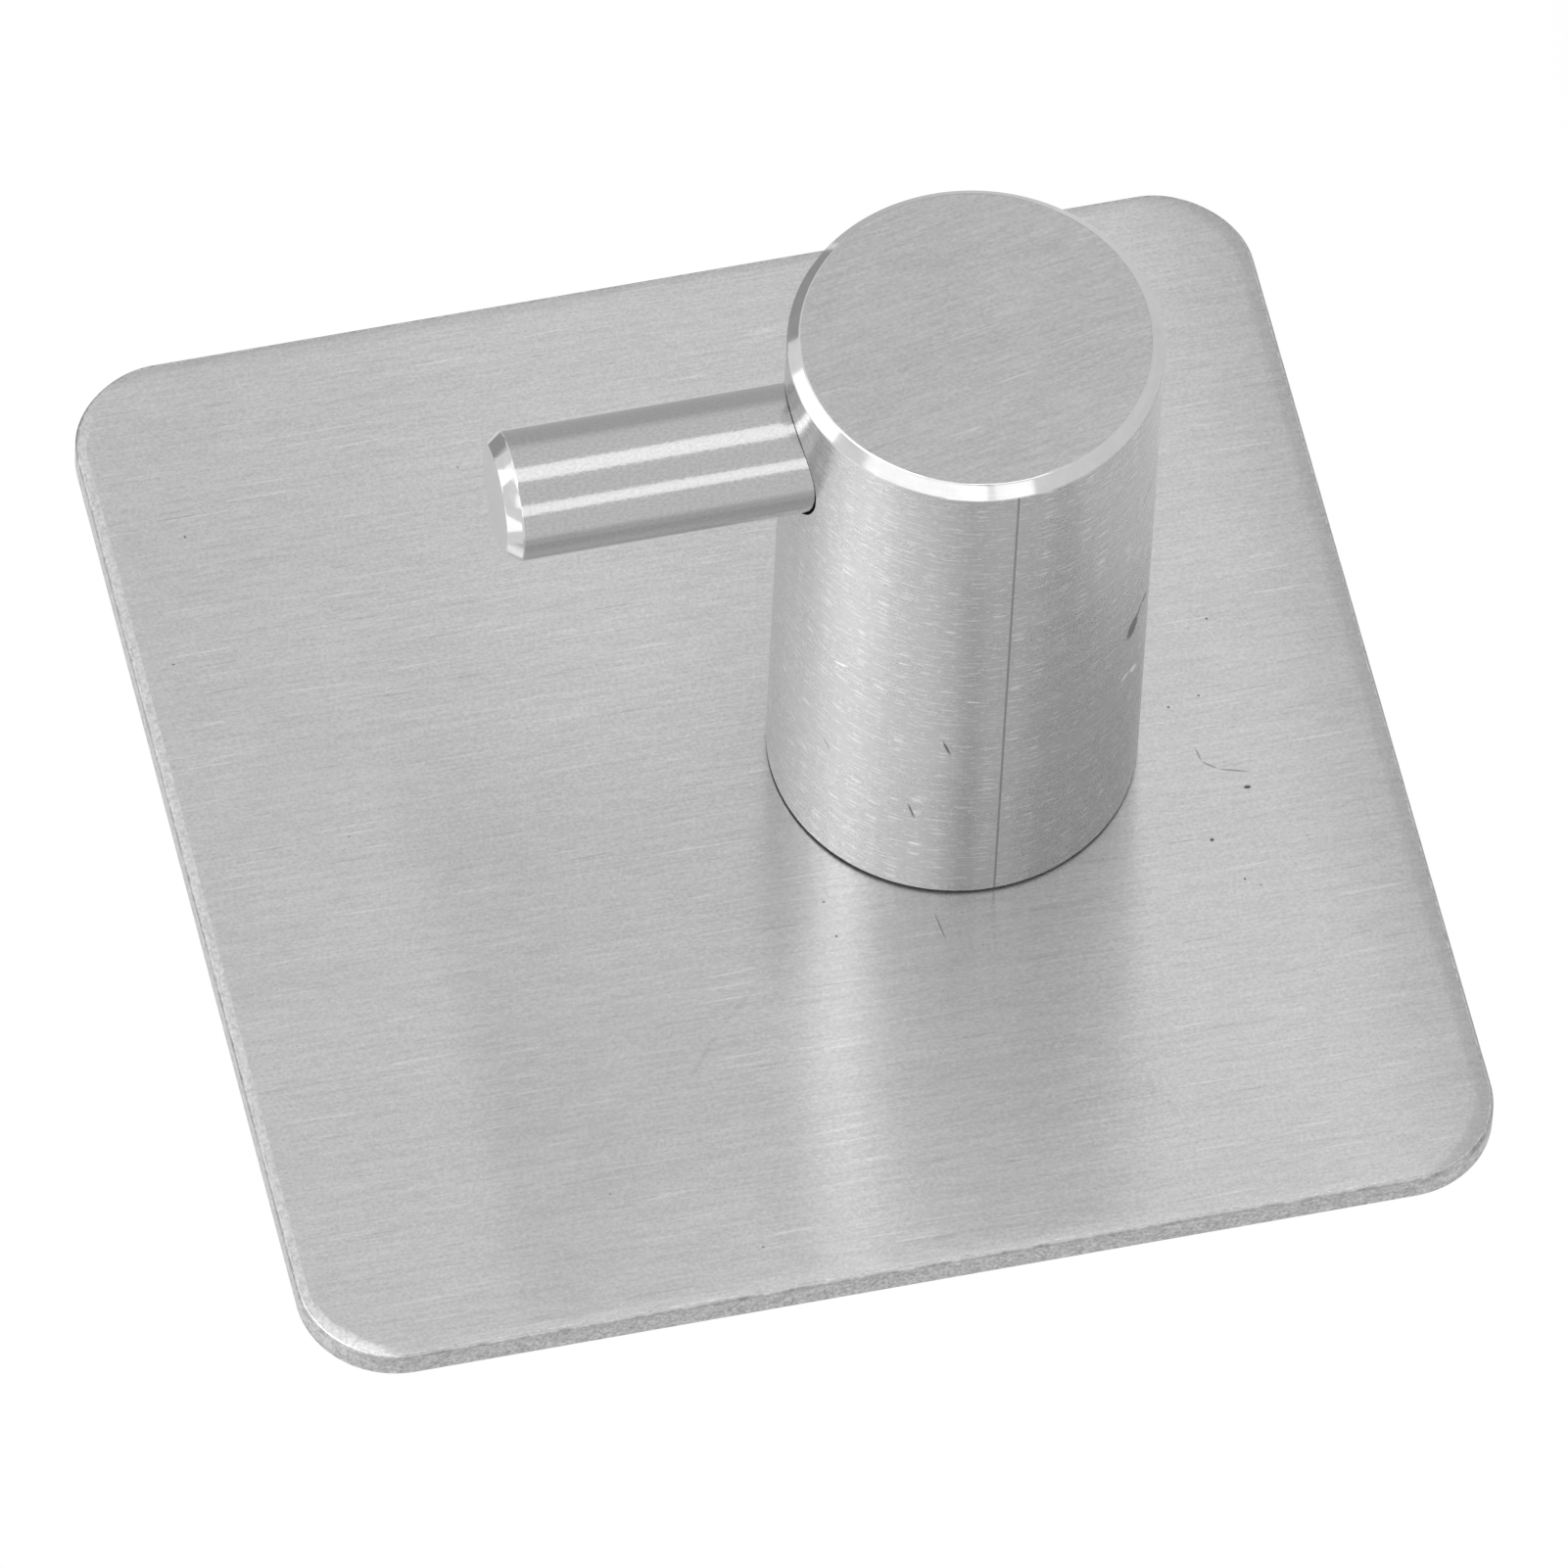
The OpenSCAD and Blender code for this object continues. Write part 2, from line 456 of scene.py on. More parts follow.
# %% [markdown]
# The plate's rim was sheared by a punch: a dull, grainy wall with short scratches across the sheet.
# A texture could be laid along it, but noise in Object coordinates needs no unwrapping, and two sizes
# of it, a coarse one for the shear and a fine one for the grit, give the torn look.

# %% Finish of the plate's rim
rim_finish = Finish("plate_sheared")
shear = rim_finish.noise(0.45, 0.30, 0.45, detail=2)
grit = rim_finish.noise(0.13, turn=(0.4, 0.7, 0.3), detail=1)
rim_shade = rim_finish.blend([(1.0, shear), (1.6, grit)])
plate_rim_steel = rim_finish.metal(
    rim_finish.tone(rim_shade, grey(0.32), grey(0.70)),
    rim_finish.range(grit, 0.36, 0.52), relief=rim_shade, depth_mm=0.006)

# %% [markdown]
# Between the face and the sheared wall runs the burr, a thin torn edge. It shows as
# an uneven dark line, so it gets a dark finish of its own with patches that come and go.

# %% Finish of the plate's burr
burr_finish = Finish("plate_burr")
tears = burr_finish.noise(0.9, detail=2)
burr_grain = burr_finish.noise(0.16, turn=(0.4, 0.7, 0.3), detail=1)
burr_shade = burr_finish.blend([(1.6, tears), (1.2, burr_grain)])
plate_burr_steel = burr_finish.metal(
    burr_finish.tone(burr_shade, grey(0.26), grey(0.58)),
    burr_finish.range(burr_grain, 0.35, 0.50), relief=burr_grain, depth_mm=0.004)

# %% [markdown]
# Along the top end and round its left corner the sharp edge was taken off with fine paper. The band is
# gritty, without the face's hairlines. A mask in the face's finish could draw it, but the band has
# faces of its own, so a second material on those is simpler and ends where the band ends.

# %% Finish of the plate's filed band
filed_finish = Finish("plate_filed")
filed_grit = filed_finish.noise(0.16, turn=(0.4, 0.7, 0.3), detail=2)
filed_shade = filed_finish.blend([(1.6, filed_grit)])
plate_filed_steel = filed_finish.metal(
    filed_finish.tone(filed_shade, grey(0.40), grey(0.68)),
    filed_finish.range(filed_grit, 0.24, 0.34), relief=filed_grit, depth_mm=0.006)

# %% [markdown]
# The plate and the tape are both flat squares with rounded corners and a round hole. Each starts as a
# box whose four upright edges are rounded. The hole could be made by bridging a circle to the outline,
# but a drill is simpler: a turned cylinder on the post's axis, cut away with a Boolean.

# %% Helpers for flat parts with a hole
CORNER_STEPS, DRILL_ROOM = 24, 1 * MM
post_low, post_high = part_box("post")
POST_RADIUS = (post_high.x - post_low.x) / 2
POST_AXIS_Z = (post_low.z + post_high.z) / 2


def rounded_slab(low, high, corner_radius):
    bm = bmesh.new()
    bmesh.ops.create_cube(bm, size=1)
    bmesh.ops.scale(bm, vec=high - low, verts=bm.verts)
    bmesh.ops.translate(bm, vec=(low + high) / 2, verts=bm.verts)
    upright = [e for e in bm.edges if abs(e.verts[0].co.y - e.verts[1].co.y) > SAME_PLACE]
    bmesh.ops.bevel(bm, geom=upright, offset=corner_radius, offset_type="OFFSET",
                    segments=CORNER_STEPS, profile=0.5, affect="EDGES", material=-1)
    return bm


def round_rim(bm, y, offset, segments):
    """Rounds the edges that lie at one depth."""
    rim = [e for e in bm.edges if all(abs(v.co.y - y) < SAME_PLACE for v in e.verts)]
    bmesh.ops.bevel(bm, geom=rim, offset=offset, offset_type="OFFSET",
                    segments=segments, profile=0.5, affect="EDGES", material=-1)


def flat_cap(bm, y):
    """The largest face at one depth."""
    level = [f for f in bm.faces if all(abs(v.co.y - y) < SAME_PLACE for v in f.verts)]
    return max(level, key=lambda f: f.calc_area())


def drill(piece, radius):
    """A round hole on the post's axis, right through a flat piece."""
    depths = [corner[1] for corner in piece.bound_box]
    length = max(depths) - min(depths) + 2 * DRILL_ROOM
    place = Matrix.Translation((0, max(depths) + DRILL_ROOM, POST_AXIS_Z)) @ ALONG_POST
    profile = [(0, 0, 0), (radius, 0, 0), (radius, length, 0), (0, length, 0)]
    carve(piece, place_piece("drill", turned_mesh(profile, place, 0)))


print("helpers for flat parts are ready")

# %% [markdown]
# A punch rolls the front edge of a plate over, and no two stretches of it come out alike. Here the
# bottom end is rolled most, the sides only a little, and the corners, which stand free, deepest of
# all. The top end and its left corner were filed, which leaves a narrow flat band in place of the roll.
# A bevel modifier would give the same rim all round. A short formula for the depth at each place
# follows the real plate, and each stretch runs smoothly into the next.

# %% Shape of the plate's rim
CORNER_RADIUS, EDGE_BREAK, BURR_BREAK = 3.65 * MM, 0.15 * MM, 0.08 * MM
ROLL_WIDTH, ROLL_DEPTH, ROLL_STEPS = 1.2 * MM, 0.085 * MM, 12
SIDE_ROLL_WIDTH, SIDE_ROLL, END_ROLL, CORNER_ROLL = 0.90 * MM, 0.038 * MM, 0.105 * MM, 0.110 * MM
FILED_WIDTH, FILED_DEPTH = 0.42 * MM, 0.037 * MM
FILED_CORNER_WIDTH, FILED_CORNER_DEPTH = 0.56 * MM, 0.095 * MM
ROUND_AS_ROLLED, ROUND_AS_FILED, FILED_FADE = 3, 1.3, 6


def between(first, last, share):
    return first + (last - first) * share


def sunk(inset, width, depth, roundness):
    """The depth at some distance inside the outline: all of it at the edge, none past the width."""
    return depth * max(1 - inset / width, 0) ** roundness


def even_roll(inset):
    """The roll that the plate starts with, the same all round."""
    return sunk(inset, ROLL_WIDTH, ROLL_DEPTH, ROUND_AS_ROLLED)


def rim_place(point):
    """How far a point lies inside the outline, and its turn from the sides towards the ends."""
    corner_start = plate_high.x - CORNER_RADIUS
    past = Vector([max(abs(c) - corner_start, 0) for c in (point.x, point.z)])
    return CORNER_RADIUS - past.length, atan2(past.y, past.x)


def filed_share(point, turn):
    """1 along the top end and round its left corner, 0 along the sides and the bottom end."""
    if point.z < 0:
        return 0
    return 1 - cos(turn) ** FILED_FADE if point.x < 0 else sin(turn) ** FILED_FADE


def filed_width(turn):
    return between(FILED_WIDTH, FILED_CORNER_WIDTH, sin(2 * turn) ** 2)


def rim_depth(point):
    """How far the face lies below its flat middle at a point near the outline."""
    inset, turn = rim_place(point)
    at_end, at_corner = sin(turn) ** 2, sin(2 * turn) ** 2
    roll_depth = between(SIDE_ROLL, END_ROLL, at_end) + CORNER_ROLL * at_corner
    roll_width = between(SIDE_ROLL_WIDTH, ROLL_WIDTH, at_end)
    rolled = sunk(inset, roll_width, roll_depth, ROUND_AS_ROLLED)
    filed_depth = between(FILED_DEPTH, FILED_CORNER_DEPTH, at_corner)
    filed = sunk(inset, filed_width(turn), filed_depth, ROUND_AS_FILED)
    return between(rolled, filed, filed_share(point, turn))


print("rim: rolled over", round(ROLL_WIDTH / MM, 1), "mm, filed over", round(FILED_WIDTH / MM, 2), "mm")

# %% [markdown]
# The plate itself. Its front face is inset ring by ring, which gives the rim enough rows to bend. The
# front edge is broken, the burr behind is taken off, and every point near the rim moves to its depth.
# Last the screw hole is drilled, and each face takes its finish by the way it looks: forwards it is
# brushed or filed, outwards it is sheared, and the narrow turn between the two is the burr.

# %% Plate
SCREW_HOLE_RADIUS = 2.15 * MM
RIM_REACH = 1.5 * EDGE_BREAK
FORWARDS, HALF_OUTWARDS, MOSTLY_FILED = -0.75, -0.1, 0.3
WALL_SKEW = 0.7
FACE, WALL, BURR, FILED = range(4)

edge_y = plate_low.y + ROLL_DEPTH
bm = rounded_slab(Vector((plate_low.x, edge_y, plate_low.z)), plate_high, CORNER_RADIUS)
ring = ROLL_WIDTH / ROLL_STEPS
for step in range(ROLL_STEPS):
    here, further_in = even_roll(step * ring), even_roll((step + 1) * ring)
    cap = flat_cap(bm, plate_low.y + here)
    bmesh.ops.inset_region(bm, faces=[cap], thickness=ring, depth=here - further_in,
                           use_even_offset=True)
round_rim(bm, edge_y, EDGE_BREAK, segments=5)
round_rim(bm, plate_high.y, BURR_BREAK, segments=2)
for vert in bm.verts:
    if vert.co.y < edge_y + RIM_REACH:
        vert.co.y += rim_depth(vert.co) - even_roll(rim_place(vert.co)[0])
plate_finishes = [plate_face_steel, plate_rim_steel, plate_burr_steel, plate_filed_steel]
plate = place_piece("plate_sheet", bm, "back_plate", plate_finishes)
drill(plate, SCREW_HOLE_RADIUS)
for face in plate.data.polygons:
    inset, turn = rim_place(face.center)
    on_band = inset < filed_width(turn) and filed_share(face.center, turn) > MOSTLY_FILED
    if face.normal.y < FORWARDS:
        face.material_index = FILED if on_band else FACE
    else:
        face.material_index = BURR if face.normal.y < HALF_OUTWARDS else WALL
smooth_piece(plate)


def plate_across(point, centre, normal):
    """U runs along X. The share of Y keeps the upright walls from having no width."""
    return point.x + point.y, point.z + WALL_SKEW * point.y


mark_across(plate, plate_across)

# %% [markdown]
# The post is turned from bar. Its side carries the fine rings of the tool, broken up into grain and
# short bright dashes where the tool tore the steel. It is handled and stacked before it is packed, so
# it also has nicks and one long straight scratch.
# Rings alone would look like a gramophone record. Grain, rings and dashes in layers look like turned
# steel.

# %% Grain of the post's side
SEAM_HALF, SEAM_SOFT = 0.02 * MM, 0.04 * MM

side_finish = Finish("post_turned")
grain = side_finish.skin_noise(0.11, 0.16, detail=1)
rings = side_finish.skin_noise(0.09, 3.0)
bands = side_finish.noise(8, 1.6, 8, detail=2)
dashes = side_finish.above(side_finish.skin_noise(0.10, 0.85, apart=20), 0.72, 0.06)
flecks = side_finish.above(side_finish.skin_noise(0.11, 0.24, apart=50), 0.68, 0.14)
side_shade = side_finish.blend([(0.22, grain), (0.24, rings), (0.15, bands)], middle=0.45)
side_shade = side_finish.math("MULTIPLY_ADD", flecks, 0.35, side_shade)
side_shade = side_finish.math("MULTIPLY_ADD", dashes, 0.80, side_shade)
place_x, _, place_z = side_finish.node("ShaderNodeSeparateXYZ", Vector=side_finish.coords).outputs
off_line = side_finish.math("ABSOLUTE", side_finish.math("SUBTRACT", place_z, POST_AXIS_Z))
on_line = side_finish.math("SUBTRACT", 1.0, side_finish.above(off_line, SEAM_HALF, SEAM_SOFT))
seam = side_finish.math("MULTIPLY", on_line, side_finish.math("LESS_THAN", place_x, 0.0))
print("post: grain of 0.1 mm and one long straight scratch")

# %% [markdown]
# Then the knocks: a few short scratches low on the left, and three nicks nearer the foot. Where bare
# metal shows, the mark is lighter than the steel round it. Places on a round bar are easiest to give
# by the distance from the plate and the turn from the top.

# %% Knocks on the post, and its finish
def on_side(stand, turn):
    """stand: millimetres from the plate's face; turn: degrees from the top, towards the left."""
    left, rise = POST_RADIUS * sin(radians(turn)), POST_RADIUS * cos(radians(turn))
    return (-left / MM, post_high.y / MM - stand, (POST_AXIS_Z + rise) / MM)


side_dark = side_finish.scratches([
    (on_side(11.4, 137.8), on_side(12.35, 145.3), 1.15),
    (on_side(12.1, 143.0), on_side(12.4, 149.5), 0.30),
    (on_side(12.4, 148.0), on_side(12.0, 155.0), 0.30),
    (on_side(19.4, 141.8), on_side(19.8, 147.2), 0.09),
    (on_side(19.7, 146.4), on_side(19.7, 153.0), 0.10),
    (on_side(10.0, 71.2), on_side(9.0, 74.1), 0.13),
    (on_side(5.65, 61.4), on_side(4.5, 64.4), 0.11),
    (on_side(7.0, 30.4), on_side(6.5, 34.3), 0.09),
])
side_light = side_finish.scratches([
    (on_side(9.2, 135.2), on_side(9.1, 141.2), 0.30),
    (on_side(9.1, 140.8), on_side(8.4, 148.0), 0.40),
    (on_side(12.6, 76.5), on_side(12.5, 83.0), 0.13),
    (on_side(12.3, 33.0), on_side(12.6, 39.5), 0.13),
    (on_side(3.0, 61.8), on_side(3.0, 67.0), 0.13),
    (on_side(7.4, 83.2), on_side(7.4, 88.2), 0.08),
])
side_colour = side_finish.tone(side_shade, grey(0.37), grey(0.67))
side_colour = side_finish.stain(side_colour, side_finish.math("MULTIPLY", side_light, 0.9), 0.90)
side_colour = side_finish.stain(side_colour, side_finish.math("MULTIPLY", seam, 0.9), 0.26)
side_colour = side_finish.stain(side_colour, side_dark, 0.16)
post_side_steel = side_finish.metal(
    side_colour, side_finish.blend([(0.06, bands), (0.06, grain)], middle=0.28),
    relief=side_finish.blend([(0.7, rings), (0.3, grain)]), depth_mm=0.0008, anisotropy=0.9)

# %% [markdown]
# The bevel round the post's end is cut last with a sharp tool, so it is nearly a mirror. The peg's tip
# has the same kind of bevel, and both share this finish.
# With one even roughness it would look like chrome, so faint rings and spots vary it a little.

# %% Finish of the cut bevels
bevel_finish = Finish("bevel_bright")
bevel_rings = bevel_finish.noise(6, 0.05, 6, detail=2)
bevel_spots = bevel_finish.noise(0.5, detail=3)
bevel_shade = bevel_finish.blend([(0.3, bevel_rings), (0.4, bevel_spots)])
bevel_steel = bevel_finish.metal(
    bevel_finish.tone(bevel_shade, grey(0.46), grey(0.74)),
    bevel_finish.range(bevel_spots, 0.05, 0.14), relief=bevel_shade, depth_mm=0.001)

# %% [markdown]
# The post's end face was rubbed on a belt, a little askew, which leaves straight streaks that cross
# the plate's grain by about ten degrees.
# The plate's layers would do here if the post were turned. The Mapping node turns the noise instead,
# so the piece stays where it is.

# %% Finish of the post's end face
END_GRAIN_TURN = radians(-10)
ON_END = (0, END_GRAIN_TURN, 0)
end_finish = Finish("end_brushed")
end_hairs = end_finish.noise(0.11, 1, 1.4, turn=ON_END)
end_specks = end_finish.noise(0.09, 1, 0.15, turn=ON_END, detail=1)
end_clouds = end_finish.noise(3, 3, 5, turn=ON_END, detail=2)
end_bright = end_finish.above(end_finish.noise(0.13, 1, 2.5, turn=ON_END, apart=30), 0.76)
end_layers = [(0.34, end_hairs), (0.66, end_specks), (0.22, end_clouds)]
end_shade = end_finish.blend(end_layers, middle=0.47)
end_shade = end_finish.math("MULTIPLY_ADD", end_bright, 0.22, end_shade)
end_steel = end_finish.metal(
    end_finish.tone(end_shade, grey(0.32), grey(0.59)),
    end_finish.blend([(0.08, end_clouds)], middle=0.27),
    relief=end_hairs, depth_mm=0.0012, anisotropy=0.9)

# %% [markdown]
# Where two pieces meet there is a groove a tenth of a millimetre wide.
# It shows as a thin dark ring at the post's foot and round the peg.
# Shadow alone leaves so narrow a groove too light, because its steel walls mirror the light back out.
# So the groove's own faces get painted shade: a near-black finish.

# %% Finish of the grooves, which is painted shade
groove_shade_finish = Finish("groove_painted_shade")
shade_patches = groove_shade_finish.noise(0.3, detail=2)
groove_shade_steel = groove_shade_finish.metal(
    groove_shade_finish.tone(shade_patches, grey(0.02), grey(0.12)),
    groove_shade_finish.range(shade_patches, 0.4, 0.6), relief=shade_patches, depth_mm=0.01)

# %% [markdown]
# The post: a solid bar with a broken edge at its foot, a bevel at its end, and a tapped hole in its
# foot for the screw. All of that is round, so one spun profile makes it.

# %% Post
POST_BEVEL, FOOT_BREAK, POST_ROUNDING = 0.45 * MM, 0.15 * MM, 0.05 * MM
TAP_RADIUS, TAP_DEPTH, TAP_POINT = 2.02 * MM, 9 * MM, 1.214 * MM
END_RING = 0.5 * POST_RADIUS
FLAT_ON_END = -0.93
SIDE, BEVEL, END, GROOVE = range(4)
post_length = post_high.y - post_low.y


def is_end_face(centre, normal):
    return centre.y < post_low.y + POST_BEVEL and normal.y < FLAT_ON_END


on_post_axis = Matrix.Translation((0, post_high.y, POST_AXIS_Z)) @ ALONG_POST
post_profile = [
    (0, TAP_DEPTH + TAP_POINT, 0),
    (TAP_RADIUS, TAP_DEPTH, 0),
    (TAP_RADIUS, 0, 0),
    (POST_RADIUS - FOOT_BREAK, 0, 1),
    (POST_RADIUS, FOOT_BREAK, 1),
    (POST_RADIUS, post_length - POST_BEVEL, 1),
    (POST_RADIUS - POST_BEVEL, post_length, 1),
    (END_RING, post_length, 0),
    (0, post_length, 0),
]
bm = turned_mesh(post_profile, on_post_axis, POST_ROUNDING)
for face in bm.faces:
    middle = face.calc_center_median()
    if is_end_face(middle, face.normal):
        face.material_index = END
    elif middle.y < post_low.y + POST_BEVEL:
        face.material_index = BEVEL
    else:
        # The foot break takes the groove finish, the painted shade at the post's foot.
        face.material_index = GROOVE if middle.y > post_high.y - FOOT_BREAK else SIDE
post_finishes = [post_side_steel, bevel_steel, end_steel, groove_shade_steel]
post = place_piece("post_bar", bm, "post", post_finishes)
print("post:", round(2 * POST_RADIUS / MM, 1), "mm thick,", round(post_length / MM, 1), "mm long")

# %% [markdown]
# The cross bore for the peg is drilled afterwards, as on a real post. Its mouth is a hair wider than
# the peg, and its faces take the groove's painted shade, which makes the thin dark ring round the
# joint.
# Turned surfaces get their grain round the axis, and the end face gets the belt's straight grain.

# %% Seat for the peg
SEAT_GAP, SEAT_LAND, SEAT_SLACK, SEAT_REACH = 0.10 * MM, 0.15 * MM, 0.01 * MM, 1.001
BORE_ROOM = 1 * MM
ROUND_CREASE = 8
peg_low, peg_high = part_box("peg")
PEG_RADIUS = (peg_high.x - peg_low.x) / 2
PEG_AXIS_Y = (peg_low.y + peg_high.y) / 2
seat_radius = PEG_RADIUS + SEAT_GAP
seat_floor = (POST_RADIUS ** 2 - seat_radius ** 2) ** 0.5 - SEAT_LAND
bore_depth = POST_AXIS_Z - peg_low.z
in_peg_axis = Matrix.Translation((0, PEG_AXIS_Y, POST_AXIS_Z))
bore_profile = [
    (0, -bore_depth, 0),
    (PEG_RADIUS, -bore_depth, 0),
    (PEG_RADIUS, seat_floor, 0),
    (seat_radius, seat_floor, 0),
    (seat_radius, POST_RADIUS + BORE_ROOM, 0),
    (0, POST_RADIUS + BORE_ROOM, 0),
]
carve(post, place_piece("seat_cutter", turned_mesh(bore_profile, in_peg_axis, 0)))
# The seat's faces take the groove finish, the painted shade round the peg.
for face in post.data.polygons:
    from_peg = Vector((face.center.x, face.center.y - PEG_AXIS_Y)).length
    if from_peg < SEAT_REACH * seat_radius and face.center.z > peg_low.z - SEAT_SLACK:
        face.material_index = GROOVE
smooth_piece(post, crease=ROUND_CREASE)
post_turn = turned_across(Vector((0, 0, POST_AXIS_Z)), Vector((0, -1, 0)), POST_RADIUS)


def post_across(point, centre, normal):
    if is_end_face(centre, normal):
        x, z = point.x, point.z - POST_AXIS_Z
        return (x * cos(END_GRAIN_TURN) - z * sin(END_GRAIN_TURN),
                x * sin(END_GRAIN_TURN) + z * cos(END_GRAIN_TURN))
    return post_turn(point, centre, normal)


mark_across(post, post_across)

# %% [markdown]
# The peg is thin bar that was drawn and polished, so its reflections are sharper than the post's:
# lamps show in it as narrow lines along its length.
# The post's finish with less roughness would come close, but polishing took away its dashes, so only
# fine grain and a trace of rings are left.

# %% Finish of the peg
peg_finish = Finish("peg_polished")
peg_rings = peg_finish.skin_noise(0.10, 4)
peg_grain = peg_finish.skin_noise(0.16, 0.10, detail=1)
peg_shade = peg_finish.blend([(0.06, peg_rings), (0.55, peg_grain)], middle=0.50)
peg_steel = peg_finish.metal(
    peg_finish.tone(peg_shade, grey(0.32), grey(0.59)),
    peg_finish.range(peg_grain, 0.11, 0.18), relief=peg_grain, depth_mm=0.0015, anisotropy=0.4)

# %% [markdown]
# The peg's flat tip was only rubbed smooth, so it is pale and dull. With the bevel's finish it would
# mirror nothing but the plate. With more roughness it picks up the room above as well.

# %% Finish of the peg's tip
tip_finish = Finish("tip_rubbed")
tip_grain = tip_finish.noise(0.12, detail=2)
tip_steel = tip_finish.metal(
    tip_finish.tone(tip_grain, grey(0.46), grey(0.66)),
    tip_finish.range(tip_grain, 0.40, 0.52), relief=tip_grain, depth_mm=0.002)

# %% [markdown]
# The peg itself: a plain turned pin with a bevelled tip and a short lead at the pressed end.
# A cylinder with a Bevel modifier would be close. In a spun profile the bevel's two lengths can differ,
# as they do on the real tip.

# %% Peg
PEG_BEVEL, PEG_BEVEL_DEPTH, PEG_LEAD, PEG_ROUNDING = 0.42 * MM, 0.54 * MM, 0.40 * MM, 0.05 * MM
UPWARDS, HALF_UPWARDS = 0.95, 0.1
PIN_SIDE, PIN_BEVEL, PIN_TIP = range(3)
peg_length = peg_high.z - peg_low.z
peg_profile = [
    (0, 0, 0),
    (PEG_RADIUS - PEG_LEAD, 0, 1),
    (PEG_RADIUS, PEG_LEAD, 1),
    (PEG_RADIUS, peg_length - PEG_BEVEL_DEPTH, 1),
    (PEG_RADIUS - PEG_BEVEL, peg_length, 1),
    (0, peg_length, 0),
]
bm = turned_mesh(peg_profile, Matrix.Translation((0, PEG_AXIS_Y, peg_low.z)), PEG_ROUNDING)
for face in bm.faces:
    if face.normal.z > UPWARDS:
        face.material_index = PIN_TIP
    else:
        face.material_index = PIN_BEVEL if face.normal.z > HALF_UPWARDS else PIN_SIDE
peg = place_piece("peg_pin", bm, "peg", [peg_steel, bevel_steel, tip_steel])
smooth_piece(peg, crease=ROUND_CREASE)
mark_across(peg, turned_across(Vector((0, PEG_AXIS_Y, 0)), Vector((0, 0, 1)), PEG_RADIUS))

# %% [markdown]
# The screw holds the post from behind. Only its thin head shows, through the tape's window: plain
# machined steel, a touch bluer than the rest, with fine tool marks and a film of oil.
# Rings round the axis would need a UV map. On a head that is seen so small, fine noise is enough.

# %% Finish of the screw
screw_finish = Finish("screw_machined")
turning = screw_finish.noise(0.12, detail=2)
oil_marks = screw_finish.noise(1.5, detail=3)
screw_shade = screw_finish.blend([(0.3, turning), (0.6, oil_marks)])
screw_steel = screw_finish.metal(
    screw_finish.tone(screw_shade, (0.30, 0.31, 0.32), (0.58, 0.59, 0.60)),
    screw_finish.range(oil_marks, 0.25, 0.45), relief=turning, depth_mm=0.003)

# %% [markdown]
# The screw itself: head and shank are turned in one piece. The cross recess is two tapered wings,
# each a small box that narrows inwards, and both are cut out with a Boolean.

# %% Screw
HEAD_THICKNESS, HEAD_RIM, SHANK_RADIUS, SHANK_LEAD = 0.8 * MM, 0.25 * MM, 2.0 * MM, 0.4 * MM
RECESS_RADIUS, RECESS_POINT, RECESS_DEPTH, RECESS_WING = 2.1 * MM, 0.6 * MM, 1.7 * MM, 0.9 * MM
SCREW_ROUNDING = 0.06 * MM
screw_low, screw_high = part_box("post_screw")
HEAD_RADIUS = (screw_high.x - screw_low.x) / 2
screw_length = screw_high.y - screw_low.y
on_screw_axis = Matrix.Translation((0, screw_high.y, POST_AXIS_Z)) @ ALONG_POST
screw_profile = [
    (0, 0, 0),
    (HEAD_RADIUS - HEAD_RIM, 0, 1),
    (HEAD_RADIUS, HEAD_RIM, 1),
    (HEAD_RADIUS, HEAD_THICKNESS, 1),
    (SHANK_RADIUS, HEAD_THICKNESS, 0),
    (SHANK_RADIUS, screw_length - SHANK_LEAD, 1),
    (SHANK_RADIUS - SHANK_LEAD, screw_length, 1),
    (0, screw_length, 0),
]
bm = turned_mesh(screw_profile, on_screw_axis, SCREW_ROUNDING)
screw = place_piece("screw_body", bm, "post_screw", [screw_steel])
taper = 1 - RECESS_POINT / RECESS_RADIUS
for wing in (0, pi / 2):
    bm = bmesh.new()
    bmesh.ops.create_cube(bm, size=1)
    bmesh.ops.scale(bm, vec=(2 * RECESS_RADIUS, RECESS_WING, 2 * RECESS_DEPTH), verts=bm.verts)
    for vert in bm.verts:
        vert.co.x *= 1 - taper if vert.co.z > 0 else 1 + taper
    bmesh.ops.rotate(bm, cent=(0, 0, 0), matrix=Matrix.Rotation(wing, 3, "Z"), verts=bm.verts)
    bmesh.ops.transform(bm, matrix=on_screw_axis, verts=bm.verts)
    carve(screw, place_piece("recess_cutter", bm))
smooth_piece(screw)

# %% [markdown]
# The tape is a square of grey acrylic foam with glue on both sides. Its cut edge shows tiny pores, and
# the glue lies in soft patches.
# Pores could be modelled one by one, but they are a third of a millimetre wide. A Voronoi texture gives
# the cells, and two sizes of noise give the foam and the glue.

# %% Finish of the tape
PORE, TAPE_RELIEF = 0.35 * MM, 0.06 * MM
tape_finish = Finish("tape_foam")
pores = tape_finish.node("ShaderNodeTexVoronoi", Vector=tape_finish.stretched((PORE,) * 3),
                         Scale=1.0).outputs["Distance"]
foam = tape_finish.noise(0.15, detail=4)
glue = tape_finish.noise(4, detail=3)
tape_shade = tape_finish.blend([(0.5, foam), (0.4, pores), (0.4, glue)])
tape_tone = tape_finish.tone(tape_shade, (0.055, 0.058, 0.062), (0.16, 0.165, 0.17))
tape_relief = tape_finish.blend([(0.6, pores), (0.6, foam), (0.8, glue)])
tape_bump = tape_finish.node("ShaderNodeBump", Height=tape_relief, Distance=TAPE_RELIEF, Strength=1.0)
tape_sockets = tape_finish.shader.inputs
tape_finish.feed(tape_sockets["Base Color"], tape_tone)
tape_finish.feed(tape_sockets["Roughness"], tape_finish.range(glue, 0.35, 0.6))
tape_finish.feed(tape_sockets["Normal"], tape_bump.outputs[0])
print("finish:", tape_finish.material.name)

